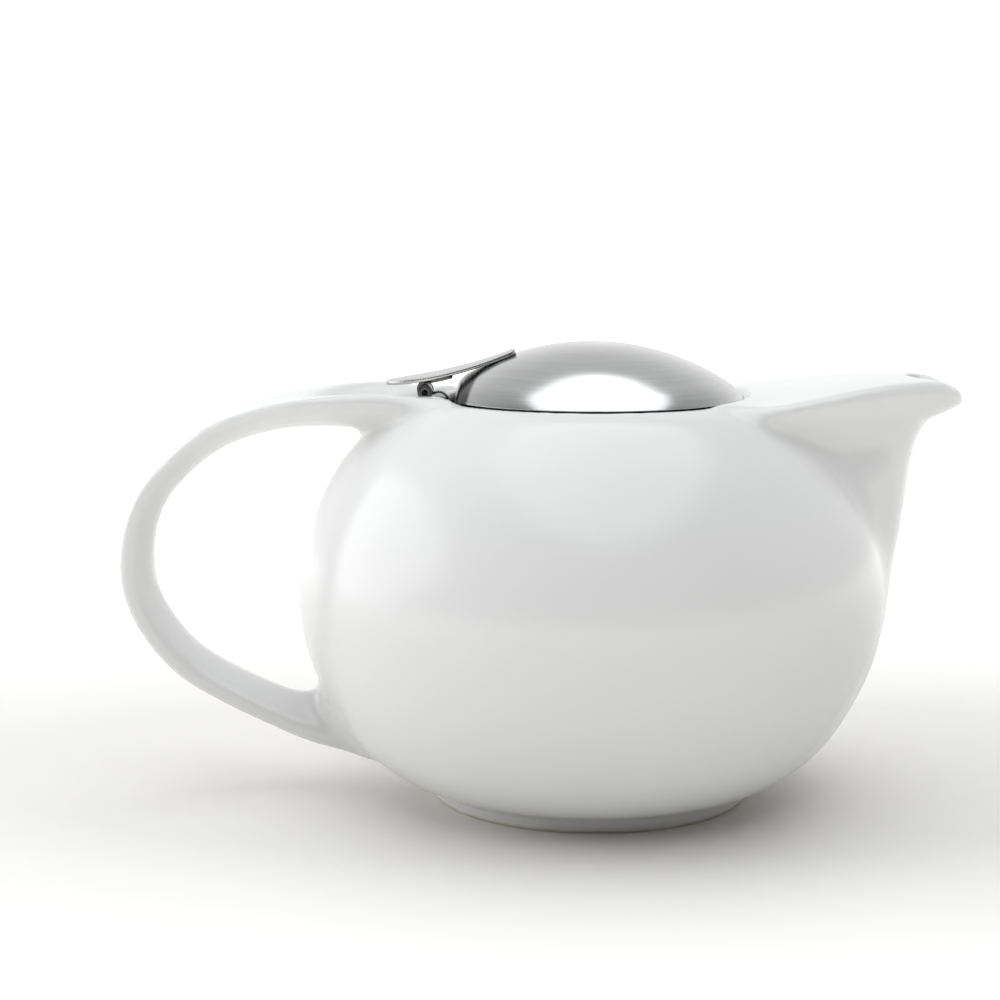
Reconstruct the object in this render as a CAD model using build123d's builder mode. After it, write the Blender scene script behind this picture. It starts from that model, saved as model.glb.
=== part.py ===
"""Teapot with a hinged steel lid and a lift-out infuser basket.

Millimetres. The origin is the centre of the foot ring's base, +Z is up, and +X points to the spout.
"""
from build123d import *
from math import hypot, sqrt
import os

os.makedirs("parts", exist_ok=True)

# ---------------------------------------------------------------- driving dimensions

# body
foot_radius = 38.6
foot_height = 3.4
foot_recess = 3.0
belly_radius = 70.0
belly_height = 49.0
wall = 4.0
lip_height = 96.1
lip_radius = 38.8
mouth_radius = 34.6
ledge_radius = 31.6
ledge_height = 90.5
ledge_underside = 87.0

# lid
lid_radius = 36.1
lid_rim_height = 96.25
lid_top = 109.2
lid_crown_radius = 60.0
lid_crown_reach = 32.0
lid_sheet = 0.7
lid_back = -32.3
skirt_radius = 34.0
skirt_bottom = 92.2
lid_clearance = 0.8

# hinge
pivot_x = -39.5
pivot_z = 97.5
pin_radius = 1.16
pin_bore = 0.6
pin_web = 2.0
pin_head_radius = 1.45
pin_head = 0.25
knuckle_bore = 1.2
knuckle_radius = 1.8
knuckle_half_width = 5.1
middle_knuckle_half_width = 1.9
knuckle_gap = 0.3
leaf_thickness = 0.8
bracket_thickness = 0.45
bracket_x = -34.275
bracket_half_width = 5.0
bracket_bottom = 83.4
slot_outer_x = -36.2
slot_inner_x = -33.2
slot_half_width = 5.6

# thumb lever
lever_sheet = 0.9
lever_half_width = 7.5
lever_widest_x = -38.5
lever_front_half_width = 3.9
lever_tip_x = -48.9
lever_tip_z = 99.5
lever_middle_x = -33.5
lever_middle_z = 102.0
lever_front_x = -18.2
lever_front_z = 107.0

# infuser
flange_radius = 34.2
flange_bottom = 90.7
infuser_sheet = 0.6
collar_radius = 31.2
collar_bottom = 78.0
mesh_sheet = 0.5
infuser_bottom = 28.0
sheet_gap = 0.05


# ---------------------------------------------------------------- porcelain: body, spout and handle

# The spout and the handle are made apart and luted on, this factor clear of the belly.
seam = 1.0008

# Outer curve of the belly, from the top of the foot ring to the lip, as (radius, height).
belly_curve = [
    (foot_radius, foot_height),
    (47.4, 7.0),
    (56.3, 14.2),
    (63.2, 24.5),
    (68.2, 36.5),
    (belly_radius, belly_height),
    (68.7, 61.5),
    (64.3, 73.5),
    (57.6, 83.4),
    (50.4, 90.2),
    (44.0, 94.4),
    (lip_radius, lip_height),
]

# Inner curve of the belly, from the floor to the underside of the shoulder.
cavity_curve = [
    (34.0, foot_recess + wall),
    (45.0, 10.8),
    (53.2, 17.4),
    (59.6, 26.8),
    (64.3, 37.9),
    (belly_radius - wall, belly_height),
    (64.8, 60.6),
    (60.7, 71.4),
    (54.6, 80.4),
    (48.4, 86.0),
    (43.0, ledge_underside),
]

# Level cuts through the spout: height, bow, side taper, half-width the sides would have at the pot's axis.
spout_sections = [
    (44.0, 70.2, 0.05, 25.0),
    (56.0, 72.4, 0.08, 26.0),
    (68.0, 74.4, 0.12, 28.5),
    (78.0, 75.7, 0.22, 33.5),
    (86.0, 77.3, 0.37, 41.0),
    (91.0, 80.3, 0.447, 47.5),
    (93.8, 86.3, 0.50, 52.0),
    (96.0, 88.9, 0.51, 54.0),
    (102.0, 89.4, 0.51, 55.0),
]
spout_root = 36.0
flare_half_width = 30.0
flare_slope = 0.5

# Level cuts through the channel inside the spout.
channel_root = 44.0
channel_sections = [
    (54.0, 67.0, 0.05, 15.5),
    (68.0, 70.2, 0.08, 17.0),
    (80.0, 71.6, 0.12, 18.5),
    (90.0, 73.4, 0.20, 23.0),
    (95.0, 75.5, 0.25, 25.5),
]

# Side view of the spout's top face, from the lip to the tip.
deck_line = [
    (36.5, 96.0),
    (40.0, 96.5),
    (46.0, 97.6),
    (54.0, 99.1),
    (62.0, 100.1),
    (70.0, 100.8),
    (76.0, 100.9),
    (81.0, 100.4),
    (85.0, 98.9),
    (87.6, 97.2),
    (89.6, 95.0),
]

# The oval pour hole leans back into the channel.
pour_hole_x = 79.0
pour_hole_z = 100.8
pour_hole_length = 9.2
pour_hole_width = 12.4
pour_lean = 0.8

# Handle, from the mouth round to the lower belly: centre x, centre z, thickness, half-width, dish.
handle_stations = [
    (-31.0, 90.5, 10.6, 17.6, 0.4),
    (-47.0, 92.7, 10.8, 19.4, 0.4),
    (-57.5, 93.5, 9.4, 19.4, 0.6),
    (-68.0, 93.1, 8.2, 18.2, 1.0),
    (-78.5, 91.2, 7.4, 15.6, 1.0),
    (-89.0, 87.2, 7.0, 13.2, 0.7),
    (-98.3, 80.4, 6.8, 11.8, 0.4),
    (-105.6, 71.2, 6.9, 11.2, 0.3),
    (-108.7, 60.0, 7.4, 11.0, 0.3),
    (-108.0, 50.0, 7.6, 11.0, 0.3),
    (-104.3, 41.5, 7.6, 11.0, 0.3),
    (-97.0, 32.9, 7.6, 11.0, 0.3),
    (-88.0, 27.0, 7.6, 11.2, 0.3),
    (-76.4, 21.5, 7.8, 11.6, 0.3),
    (-66.0, 17.6, 8.4, 12.2, 0.3),
    (-54.0, 15.0, 9.0, 13.0, 0.3),
]
handle_edge = 2.2
handle_edge_drop = 2.6

# Hollow under the thumb lever: bottom line from the lip into the handle, turned about a line above it.
scoop_line = [
    (-35.8, 94.6),
    (-39.5, 94.1),
    (-44.0, 92.9),
    (-48.5, 92.0),
    (-53.0, 92.2),
    (-58.0, 93.4),
    (-64.0, 95.6),
    (-71.0, 99.0),
]
scoop_axis_z = 110.0


def bow(x_back, x_bow, taper, spread):
    """Level cut through the spout: straight tapering sides and a round bow."""
    slant = hypot(1, taper)
    radius = (spread - taper * x_bow) / (slant - taper)
    x_touch = x_bow - radius + radius * taper / slant
    y_touch = radius / slant
    y_back = spread - taper * x_back
    with BuildSketch() as cut:
        with BuildLine():
            Line((x_back, -y_back), (x_touch, -y_touch))
            ThreePointArc((x_touch, -y_touch), (x_bow, 0), (x_touch, y_touch))
            Line((x_touch, y_touch), (x_back, y_back))
            Line((x_back, y_back), (x_back, -y_back))
        make_face()
    return cut.sketch_local


def handle_outline(thickness, half_width, dish):
    """Cross-section of the handle: dished outer face, rounded edges and a full round inner face."""
    top = thickness / 2
    flat = half_width - handle_edge
    shoulder = top - handle_edge_drop
    with BuildSketch() as section:
        with BuildLine():
            ThreePointArc((-flat, top), (0, top - dish), (flat, top))
            ThreePointArc((flat, top), (half_width - 0.5, top - 0.8), (half_width, shoulder))
            ThreePointArc((half_width, shoulder), (0, -top), (-half_width, shoulder))
            ThreePointArc((-half_width, shoulder), (-half_width + 0.5, top - 0.8), (-flat, top))
        make_face()
    return section.sketch_local


def belly_outline():
    """Half-section of the belly and foot ring, with no hollow."""
    with BuildSketch() as half:
        with BuildLine():
            foot = Polyline(
                (0, lip_height), (0, foot_recess), (foot_radius - 4.6, foot_recess),
                (foot_radius - 4.0, 0), (foot_radius - 0.5, 0), (foot_radius, foot_height),
            )
            belly = Spline(*belly_curve, tangents=[(0.85, 0.3), (-1.0, 0.2)])
            Line(belly @ 1, foot @ 0)
        make_face()
    return half.sketch_local


def scoop_outline():
    """Half-section of the hollow under the lever, between its bottom line and the line it turns about."""
    with BuildSketch() as half:
        with BuildLine():
            hollow = Spline(*scoop_line)
            Polyline(
                hollow @ 1, (scoop_line[-1][0], scoop_axis_z),
                (scoop_line[0][0], scoop_axis_z), hollow @ 0,
            )
        make_face()
    return half.sketch_local


scoop_axis = Axis((0, 0, scoop_axis_z), (1, 0, 0))

with BuildPart() as pot_body:
    with BuildSketch(Plane.XZ):
        add(belly_outline())
    revolve(axis=Axis.Z)

    # inside of the belly, up to the ledge that carries the infuser
    with BuildSketch(Plane.XZ):
        with BuildLine():
            ledge = Polyline(
                (0, foot_recess + wall), (0, lip_height + 5), (mouth_radius, lip_height + 5),
                (mouth_radius, ledge_height), (ledge_radius, ledge_height),
                (ledge_radius, ledge_underside), cavity_curve[-1],
            )
            Spline(*cavity_curve[::-1])
            Line(cavity_curve[0], ledge @ 0)
        make_face()
    revolve(axis=Axis.Z, mode=Mode.SUBTRACT)

    # way into the spout
    for height, x_bow, taper, spread in channel_sections:
        with BuildSketch(Plane.XY.offset(height)):
            add(bow(channel_root, x_bow, taper, spread))
    loft(ruled=True, mode=Mode.SUBTRACT)

    # hollow under the lever
    with BuildSketch(Plane.XZ):
        add(scoop_outline())
    revolve(axis=scoop_axis, mode=Mode.SUBTRACT)

    # slot in the neck that takes the hinge bracket
    with BuildSketch(Plane.XY.offset(ledge_underside - 4)):
        with Locations(((slot_outer_x + slot_inner_x) / 2, 0)):
            Rectangle(slot_inner_x - slot_outer_x, 2 * slot_half_width)
    extrude(amount=14, mode=Mode.SUBTRACT)
pot_body.part.label = "pot_body"
export_step(pot_body.part, "parts/pot_body.step")

with BuildPart() as spout:
    for height, x_bow, taper, spread in spout_sections:
        with BuildSketch(Plane.XY.offset(height)):
            add(bow(spout_root, x_bow, taper, spread))
    loft(ruled=True)
    with BuildSketch(Plane.XZ):
        with BuildLine():
            deck = Spline(*deck_line)
            Polyline(deck @ 1, (95, 93), (95, 110), (20, 110), (20, 96.0), deck @ 0)
        make_face()
    extrude(amount=60, both=True, mode=Mode.SUBTRACT)

    # the sides flare out from the lip
    flare_end = spout_root + 30
    flare_end_half_width = flare_half_width + 30 * flare_slope
    with BuildSketch(Plane.XY.offset(40)):
        with BuildLine():
            Polyline(
                (spout_root - 1, -flare_half_width), (flare_end, -flare_end_half_width),
                (100, -flare_end_half_width), (100, flare_end_half_width),
                (flare_end, flare_end_half_width), (spout_root - 1, flare_half_width),
                close=True,
            )
        make_face()
    extrude(amount=70, mode=Mode.INTERSECT)

    # fits round the belly and the lid
    with BuildSketch(Plane.XZ):
        add(belly_outline())
        scale(by=seam)
    revolve(axis=Axis.Z, mode=Mode.SUBTRACT)
    with BuildSketch(Plane.XY.offset(lip_height - 1)):
        Circle(lid_radius + lid_clearance)
    extrude(amount=20, mode=Mode.SUBTRACT)

    # channel and pour hole
    for height, x_bow, taper, spread in channel_sections:
        with BuildSketch(Plane.XY.offset(height)):
            add(bow(channel_root, x_bow, taper, spread))
    loft(ruled=True, mode=Mode.SUBTRACT)
    for z, growth in ((pour_hole_z + 4, 1.0), (pour_hole_z - 9, 1.15)):
        x = pour_hole_x + (z - pour_hole_z) * pour_lean
        with BuildSketch(Plane.XY.offset(z)):
            with Locations((x, 0)):
                Ellipse(pour_hole_length / 2 * growth, pour_hole_width / 2 * growth)
    loft(mode=Mode.SUBTRACT)
spout.part.label = "spout"
export_step(spout.part, "parts/spout.step")

with BuildPart() as handle:
    for i, (x, z, thickness, half_width, dish) in enumerate(handle_stations):
        before = handle_stations[max(i - 1, 0)]
        after = handle_stations[min(i + 1, len(handle_stations) - 1)]
        along = Vector(after[0] - before[0], 0, after[1] - before[1]).normalized()
        with BuildSketch(Plane(origin=(x, 0, z), x_dir=(0, -1, 0), z_dir=along)):
            add(handle_outline(thickness, half_width, dish))
    loft()

    # fits round the belly and the lid
    with BuildSketch(Plane.XZ):
        add(belly_outline())
        scale(by=seam)
    revolve(axis=Axis.Z, mode=Mode.SUBTRACT)
    with BuildSketch(Plane.XY.offset(lip_height - 1)):
        Circle(lid_radius + lid_clearance)
    extrude(amount=20, mode=Mode.SUBTRACT)

    # hollow under the lever
    with BuildSketch(Plane.XZ):
        add(scoop_outline())
    revolve(axis=scoop_axis, mode=Mode.SUBTRACT)
handle.part.label = "handle"
export_step(handle.part, "parts/handle.step")


# ---------------------------------------------------------------- hinge bracket, fixed in the neck

middle = 2 * middle_knuckle_half_width
knuckle_centre = (pivot_x, pivot_z)
bracket_outer_x = bracket_x - bracket_thickness / 2
bracket_inner_x = bracket_x + bracket_thickness / 2
arch_foot = (bracket_x, 95.0)
arch_top = (-36.0, 97.25)
arch_start = (pivot_x + 1.75, pivot_z - 0.75)
rivet_z = 84.9
rivet_y = 2.6
rivet_radius = 0.7
rivet_head_radius = 1.15
rivet_head = 0.4
spring_sheet = 0.3
spring_half_width = 4.0

with BuildPart() as hinge_bracket:
    # arched strip and middle knuckle
    with BuildSketch(Plane.XZ):
        with BuildLine():
            ThreePointArc(arch_start, arch_top, arch_foot)
        trace(line_width=bracket_thickness)
        with Locations(knuckle_centre):
            Circle(knuckle_radius)
        with Locations(knuckle_centre):
            Circle(knuckle_bore, mode=Mode.SUBTRACT)
    extrude(amount=middle_knuckle_half_width, both=True)
    # plate that hangs in the slot
    with BuildSketch(Plane.YZ.offset(bracket_outer_x)):
        with Locations((0, (bracket_bottom + 94.4) / 2)):
            RectangleRounded(2 * bracket_half_width, 94.4 - bracket_bottom, 1.2)
        with Locations((0, 94.4)):
            Rectangle(middle, 1.6)
    extrude(amount=bracket_thickness)
    with BuildSketch(Plane.YZ.offset(bracket_outer_x - 1)):
        with Locations((-rivet_y, rivet_z), (rivet_y, rivet_z)):
            Circle(rivet_radius)
    extrude(amount=2, mode=Mode.SUBTRACT)
hinge_bracket.part.label = "hinge_bracket"
export_step(hinge_bracket.part, "parts/hinge_bracket.step")

with BuildPart() as clip_spring:
    # a bowed leaf that wedges the plate in its slot
    spring_x = bracket_outer_x - spring_sheet / 2
    with BuildSketch(Plane.XZ):
        with BuildLine():
            tail = Line((spring_x, bracket_bottom), (spring_x, 87.0))
            ThreePointArc(tail @ 1, (slot_outer_x + 0.5, 89.8), (spring_x, 92.6))
        trace(line_width=spring_sheet)
    extrude(amount=spring_half_width, both=True)
    with BuildSketch(Plane.YZ.offset(bracket_outer_x - 1)):
        with Locations((-rivet_y, rivet_z), (rivet_y, rivet_z)):
            Circle(rivet_radius)
    extrude(amount=2, mode=Mode.SUBTRACT)
clip_spring.part.label = "clip_spring"
export_step(clip_spring.part, "parts/clip_spring.step")

with BuildPart() as clip_rivets:
    spots = [(-rivet_y, rivet_z), (rivet_y, rivet_z)]
    with BuildSketch(Plane.YZ.offset(bracket_outer_x - spring_sheet)):
        with Locations(*spots):
            Circle(rivet_radius)
    extrude(amount=bracket_thickness + spring_sheet)
    with BuildSketch(Plane.YZ.offset(bracket_inner_x)):
        with Locations(*spots):
            Circle(rivet_head_radius)
    extrude(amount=rivet_head, taper=25)
    with BuildSketch(Plane.YZ.offset(bracket_outer_x - spring_sheet)):
        with Locations(*spots):
            Circle(rivet_head_radius)
    extrude(amount=-rivet_head, taper=25)
clip_rivets.part.label = "clip_rivets"
export_step(clip_rivets.part, "parts/clip_rivets.step")

with BuildPart() as hinge_pin:
    # rivet with a bored end on each side, flared over the outer knuckles
    pin_half_length = knuckle_half_width + sheet_gap
    with BuildSketch(Plane.XZ):
        with Locations(knuckle_centre):
            Circle(pin_radius)
    extrude(amount=pin_half_length, both=True)
    for side in (-1, 1):
        with BuildSketch(Plane.XZ.offset(side * pin_half_length)):
            with Locations(knuckle_centre):
                Circle(pin_head_radius)
        extrude(amount=side * pin_head)
    for side in (-1, 1):
        with BuildSketch(Plane.XZ.offset(side * pin_web)):
            with Locations(knuckle_centre):
                Circle(pin_bore)
        extrude(amount=side * (pin_half_length + 1), mode=Mode.SUBTRACT)
    fillet(hinge_pin.edges().filter_by(GeomType.CIRCLE).group_by(Axis.Y)[0], 0.1)
    fillet(hinge_pin.edges().filter_by(GeomType.CIRCLE).group_by(Axis.Y)[-1], 0.1)
hinge_pin.part.label = "hinge_pin"
export_step(hinge_pin.part, "parts/hinge_pin.step")


# ---------------------------------------------------------------- lid

crown_centre_z = lid_top - lid_crown_radius


def lid_profile(inset):
    """Half-profile of the dome, set in from the outside by a sheet's thickness."""
    radius = lid_crown_radius - inset
    reach = lid_crown_reach * radius / lid_crown_radius
    with BuildSketch() as half:
        with BuildLine():
            crown = ThreePointArc(
                (0, crown_centre_z + radius),
                (reach / 2, crown_centre_z + sqrt(radius**2 - reach**2 / 4)),
                (reach, crown_centre_z + sqrt(radius**2 - reach**2)),
            )
            turn_down = TangentArc(crown @ 1, (lid_radius - inset, lid_rim_height), tangent=crown % 1)
            Polyline(turn_down @ 1, (0, lid_rim_height), crown @ 0)
        make_face()
    return half.sketch_local


with BuildPart() as lid_dome:
    with BuildSketch(Plane.XZ):
        add(lid_profile(0))
    revolve(axis=Axis.Z)
    split(bisect_by=Plane.YZ.offset(lid_back), keep=Keep.TOP)
    with BuildPart(mode=Mode.PRIVATE) as hollow_under_lid:
        with BuildSketch(Plane.XZ):
            add(lid_profile(lid_sheet))
        revolve(axis=Axis.Z)
        split(bisect_by=Plane.YZ.offset(lid_back + lid_sheet), keep=Keep.TOP)
    add(hollow_under_lid.part, mode=Mode.SUBTRACT)
lid_dome.part.label = "lid_dome"
export_step(lid_dome.part, "parts/lid_dome.step")

with BuildPart() as lid_skirt:
    # angle-section ring that drops into the mouth and stops short of the hinge
    with BuildSketch(Plane.XZ):
        with BuildLine():
            Polyline(
                (skirt_radius - lid_sheet, skirt_bottom), (skirt_radius, skirt_bottom),
                (skirt_radius, lid_rim_height), (lid_radius - 2 * lid_sheet, lid_rim_height),
                (lid_radius - 2 * lid_sheet, lid_rim_height + lid_sheet),
                (skirt_radius - lid_sheet, lid_rim_height + lid_sheet),
                (skirt_radius - lid_sheet, skirt_bottom),
            )
        make_face()
    revolve(axis=Axis.Z)
    split(bisect_by=Plane.YZ.offset(lid_back + 2 * lid_sheet), keep=Keep.TOP)
lid_skirt.part.label = "lid_skirt"
export_step(lid_skirt.part, "parts/lid_skirt.step")

lever_tip = (lever_tip_x, lever_tip_z)
lever_middle = (lever_middle_x, lever_middle_z)
lever_front = (lever_front_x, lever_front_z)

with BuildPart() as thumb_lever:
    # sheet bent to a long arc, then trimmed to a leaf shape
    with BuildSketch(Plane.XZ):
        with BuildLine():
            ThreePointArc(lever_tip, lever_middle, lever_front)
        trace(line_width=lever_sheet)
    extrude(amount=lever_half_width + 1, both=True)
    with BuildSketch(Plane.XY.offset(90)):
        with BuildLine():
            far = Spline(
                (lever_tip_x + 0.1, 0), (lever_widest_x, lever_half_width),
                (lever_front_x - 1.6, lever_front_half_width),
                tangents=[(0, 1), (1, -0.22)],
            )
            near = Spline(
                (lever_tip_x + 0.1, 0), (lever_widest_x, -lever_half_width),
                (lever_front_x - 1.6, -lever_front_half_width),
                tangents=[(0, -1), (1, 0.22)],
            )
            Polyline(
                far @ 1, (lever_front_x - 0.1, lever_front_half_width - 1.6),
                (lever_front_x - 0.1, 1.6 - lever_front_half_width), near @ 1,
            )
        make_face()
    extrude(amount=30, mode=Mode.INTERSECT)
thumb_lever.part.label = "thumb_lever"
export_step(thumb_lever.part, "parts/thumb_lever.step")


def lever_height(x):
    """Height of the lever's middle surface at x, on the arc through its three points."""
    (x1, z1), (x2, z2), (x3, z3) = lever_tip, lever_middle, lever_front
    d = 2 * (x1 * (z2 - z3) + x2 * (z3 - z1) + x3 * (z1 - z2))
    s1, s2, s3 = (x1**2 + z1**2, x2**2 + z2**2, x3**2 + z3**2)
    centre_x = (s1 * (z2 - z3) + s2 * (z3 - z1) + s3 * (z1 - z2)) / d
    centre_z = (s1 * (x3 - x2) + s2 * (x1 - x3) + s3 * (x2 - x1)) / d
    radius = hypot(x1 - centre_x, z1 - centre_z)
    return centre_z - sqrt(radius**2 - (x - centre_x) ** 2)


leaf_back_x = -40.9
leaf_front_x = -33.2
leaf_drop = lever_sheet / 2 + sheet_gap + leaf_thickness / 2

with BuildPart() as hinge_leaf:
    # leaf welded under the lever
    leaf_middle_x = (leaf_back_x + leaf_front_x) / 2
    leaf_points = [(x, lever_height(x) - leaf_drop) for x in (leaf_back_x, leaf_middle_x, leaf_front_x)]
    with BuildSketch(Plane.XZ):
        with BuildLine():
            ThreePointArc(*leaf_points)
        trace(line_width=leaf_thickness)
    extrude(amount=knuckle_half_width, both=True)
    # outer knuckles, with the bend that joins them to the leaf
    for side in (-1, 1):
        with BuildSketch(Plane.XZ.offset(side * (middle_knuckle_half_width + knuckle_gap))):
            with Locations(knuckle_centre):
                Circle(knuckle_radius)
            with BuildLine():
                Polyline(
                    (leaf_back_x + 0.2, leaf_points[0][1]), (leaf_back_x + 2.6, leaf_points[0][1] + 0.4),
                    (pivot_x + 1.0, pivot_z + 1.2), (pivot_x - 1.3, pivot_z + 0.9),
                    close=True,
                )
            make_face()
            with Locations(knuckle_centre):
                Circle(knuckle_bore, mode=Mode.SUBTRACT)
        extrude(amount=side * (knuckle_half_width - middle_knuckle_half_width - knuckle_gap))
hinge_leaf.part.label = "hinge_leaf"
export_step(hinge_leaf.part, "parts/hinge_leaf.step")


# ---------------------------------------------------------------- infuser

with BuildPart() as infuser_rim:
    # flange and collar pressed from one sheet, with a notch that clears the hinge bracket
    with BuildSketch(Plane.XZ):
        with BuildLine():
            Polyline(
                (collar_radius - infuser_sheet, collar_bottom), (collar_radius, collar_bottom),
                (collar_radius, flange_bottom), (flange_radius, flange_bottom),
                (flange_radius, flange_bottom + infuser_sheet),
                (collar_radius - infuser_sheet, flange_bottom + infuser_sheet),
                (collar_radius - infuser_sheet, collar_bottom),
            )
        make_face()
    revolve(axis=Axis.Z)
    with BuildSketch(Plane.XY.offset(flange_bottom - 1)):
        with Locations((slot_inner_x - 3, 0)):
            Rectangle(6.2, 2 * slot_half_width + 2)
    extrude(amount=3, mode=Mode.SUBTRACT)
infuser_rim.part.label = "infuser_rim"
export_step(infuser_rim.part, "parts/infuser_rim.step")

sleeve_radius = collar_radius - infuser_sheet - sheet_gap
base_bottom = infuser_bottom + infuser_sheet + sheet_gap
sleeve_bottom = base_bottom + mesh_sheet + sheet_gap

with BuildPart() as infuser_sleeve:
    with BuildSketch(Plane.XY.offset(sleeve_bottom)):
        Circle(sleeve_radius)
        Circle(sleeve_radius - mesh_sheet, mode=Mode.SUBTRACT)
    extrude(amount=collar_bottom + 2 - sleeve_bottom)
infuser_sleeve.part.label = "infuser_sleeve"
export_step(infuser_sleeve.part, "parts/infuser_sleeve.step")

with BuildPart() as infuser_base:
    with BuildSketch(Plane.XY.offset(base_bottom)):
        Circle(sleeve_radius)
    extrude(amount=mesh_sheet)
infuser_base.part.label = "infuser_base"
export_step(infuser_base.part, "parts/infuser_base.step")

with BuildPart() as infuser_base_ring:
    # angle-section ring crimped round the bottom edge
    with BuildSketch(Plane.XZ):
        with BuildLine():
            Polyline(
                (27.6, infuser_bottom), (collar_radius, infuser_bottom), (collar_radius, infuser_bottom + 5),
                (collar_radius - infuser_sheet, infuser_bottom + 5),
                (collar_radius - infuser_sheet, infuser_bottom + infuser_sheet),
                (27.6, infuser_bottom + infuser_sheet), (27.6, infuser_bottom),
            )
        make_face()
    revolve(axis=Axis.Z)
infuser_base_ring.part.label = "infuser_base_ring"
export_step(infuser_base_ring.part, "parts/infuser_base_ring.step")
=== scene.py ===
"""Looks of the teapot with infuser: glazed body, satin steel lid and hinge, perforated basket."""
from math import atan2, cos, pi, radians, sin, sqrt

import bpy
import numpy as np
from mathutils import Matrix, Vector


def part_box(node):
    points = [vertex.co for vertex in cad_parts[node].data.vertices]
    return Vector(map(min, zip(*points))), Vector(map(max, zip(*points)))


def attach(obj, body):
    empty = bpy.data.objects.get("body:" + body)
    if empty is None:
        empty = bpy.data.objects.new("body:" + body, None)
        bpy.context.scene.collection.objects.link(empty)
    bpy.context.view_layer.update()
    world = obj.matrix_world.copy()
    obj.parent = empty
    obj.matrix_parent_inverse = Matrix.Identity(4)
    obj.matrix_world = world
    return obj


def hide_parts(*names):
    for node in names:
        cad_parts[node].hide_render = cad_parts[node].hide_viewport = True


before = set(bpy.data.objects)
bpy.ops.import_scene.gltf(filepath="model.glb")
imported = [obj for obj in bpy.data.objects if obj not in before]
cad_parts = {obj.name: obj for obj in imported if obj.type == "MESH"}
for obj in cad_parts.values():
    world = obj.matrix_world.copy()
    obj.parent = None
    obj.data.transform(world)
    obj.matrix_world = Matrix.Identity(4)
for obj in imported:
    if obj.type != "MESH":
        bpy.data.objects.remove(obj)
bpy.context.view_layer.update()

MM = 0.001                       # the shape functions below work in millimetres
POT_CELL = 1.3


# ------------------------------------------------------------------ places taken from the frame

def box_mm(node):
    """Lowest and highest corner of a CAD node, in millimetres."""
    low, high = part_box(node)
    return np.array(low) / MM, np.array(high) / MM


pot_boxes = np.array([box_mm(node) for node in ("pot_body", "spout", "handle")])
pot_low_all, pot_high_all = pot_boxes[:, 0].min(0) - 1.5, pot_boxes[:, 1].max(0) + 1.5
lid_low, lid_high = box_mm("lid_dome")
collar_low, collar_high = box_mm("infuser_rim")
sleeve_low, sleeve_high = box_mm("infuser_sleeve")
base_low, base_high = box_mm("infuser_base")
ring_low, ring_high = box_mm("infuser_base_ring")
leaf_low, leaf_high = box_mm("hinge_leaf")
bracket_low, bracket_high = box_mm("hinge_bracket")
pin_low, pin_high = box_mm("hinge_pin")
pivot_x = (pin_low[0] + pin_high[0]) / 2
pivot_z = (pin_low[2] + pin_high[2]) / 2


# ------------------------------------------------------------------ small tools

def smooth_curve(points):
    """Smooth function through (x, y) points that doesn't overshoot between them."""
    x, y = np.array(points, float).T
    slope = np.diff(y) / np.diff(x)
    tangent = np.concatenate([[slope[0]], np.zeros(len(x) - 2), [slope[-1]]])
    rising = slope[:-1] * slope[1:] > 0
    harmonic = 2 * slope[:-1] * slope[1:] / np.where(rising, slope[:-1] + slope[1:], 1)
    tangent[1:-1] = np.where(rising, harmonic, 0)

    def at(v):
        v = np.clip(v, x[0], x[-1])
        i = np.clip(np.searchsorted(x, v) - 1, 0, len(x) - 2)
        step = x[i + 1] - x[i]
        t = (v - x[i]) / step
        return (
            y[i] * (2 * t**3 - 3 * t**2 + 1) + y[i + 1] * (3 * t**2 - 2 * t**3)
            + tangent[i] * step * (t**3 - 2 * t**2 + t) + tangent[i + 1] * step * (t**3 - t**2)
        )

    return at


def spline_points(points, steps=12):
    """Points along a smooth curve through the given ones (centripetal Catmull-Rom)."""
    p = np.array(points, float)
    p = np.vstack([2 * p[0] - p[1], p, 2 * p[-1] - p[-2]])
    out = []
    for a, b, c, d in zip(p[:-3], p[1:-2], p[2:-1], p[3:]):
        ab, bc, cd = (sqrt(np.linalg.norm(v)) for v in (b - a, c - b, d - c))
        m1 = bc * ((b - a) / ab - (c - a) / (ab + bc)) + (c - b)
        m2 = bc * ((d - c) / cd - (d - b) / (bc + cd)) + (c - b)
        for t in np.linspace(0, 1, steps, endpoint=False):
            out.append(
                (2 * t**3 - 3 * t**2 + 1) * b + (t**3 - 2 * t**2 + t) * m1
                + (3 * t**2 - 2 * t**3) * c + (t**3 - t**2) * m2
            )
    out.append(p[-2])
    return np.array(out)


def join(a, b, k):
    """Union of two distance fields, filled in over a width k where they meet."""
    h = np.maximum(k - np.abs(a - b), 0) / k
    return np.minimum(a, b) - h * h * k / 4


def meet(a, b, k):
    """Intersection of two distance fields, with an edge rounded over a width k."""
    return -join(-a, -b, k)


def polygon_distance(px, py, polygon):
    """Signed distance from points to a closed polygon, negative inside."""
    best = np.full(px.shape, 1e9)
    inside = np.zeros(px.shape, bool)
    for (ax, ay), (bx, by) in zip(polygon, np.roll(polygon, -1, axis=0)):
        ex, ey = bx - ax, by - ay
        wx, wy = px - ax, py - ay
        t = np.clip((wx * ex + wy * ey) / max(ex * ex + ey * ey, 1e-12), 0, 1)
        best = np.minimum(best, (wx - ex * t) ** 2 + (wy - ey * t) ** 2)
        crosses = (ay > py) != (by > py)
        if by != ay:
            inside ^= crosses & (px < ex * (py - ay) / ey + ax)
    return np.where(inside, -1, 1) * np.sqrt(best)


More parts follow.
